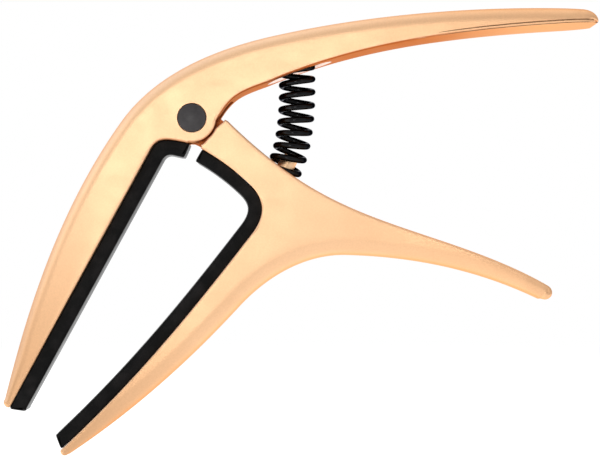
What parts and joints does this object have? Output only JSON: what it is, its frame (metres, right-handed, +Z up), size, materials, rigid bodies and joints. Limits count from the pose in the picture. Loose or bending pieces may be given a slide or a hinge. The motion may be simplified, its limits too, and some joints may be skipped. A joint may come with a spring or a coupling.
{
  "type": "guitar capo",
  "caption": "Spring-loaded guitar capo: two curved metal levers hinged on a capped pin, with rubber-lined jaws and a coil spring between the squeeze handles.",
  "frame": {"origin": "centre of the fret pad's flat working face, the face that presses on the strings", "axes": "+X runs towards the tips of the squeeze handles, +Z up from the jaw tips to the handles, +Y along the guitar's neck (the hinge pin's direction)"},
  "size_m": [0.1191, 0.0198, 0.0896],
  "materials": {
    "anodised_aluminium": "satin champagne-gold anodised",
    "pad_rubber": "matte black moulded",
    "cap_plastic": "matte black moulded",
    "pin_steel": "ground",
    "bush_bronze": "turned",
    "washer_nylon": "plain natural nylon",
    "spring_steel": "gloss black coated"
  },
  "bodies": {
    "fret_side": {"upper_lever": "anodised_aluminium", "fret_pad": "pad_rubber", "hinge_pin": "pin_steel", "pin_cap_front": "cap_plastic", "pin_cap_rear": "cap_plastic", "thrust_washer_front": "washer_nylon", "thrust_washer_rear": "washer_nylon", "return_spring": "spring_steel"},
    "neck_side": {"lower_lever": "anodised_aluminium", "neck_pad": "pad_rubber", "hinge_bush": "bush_bronze"}
  },
  "joints": [
    {"name": "squeeze_hinge", "type": "hinge", "parent": "fret_side", "child": "neck_side", "pos_m": [0.01999, 0, 0.03392], "axis": [0, -1, 0], "range_deg": [0, 16], "stiffness_Nm_per_rad": 1.1, "springref_deg": -16.04, "deforming": ["return_spring"]}
  ]
}
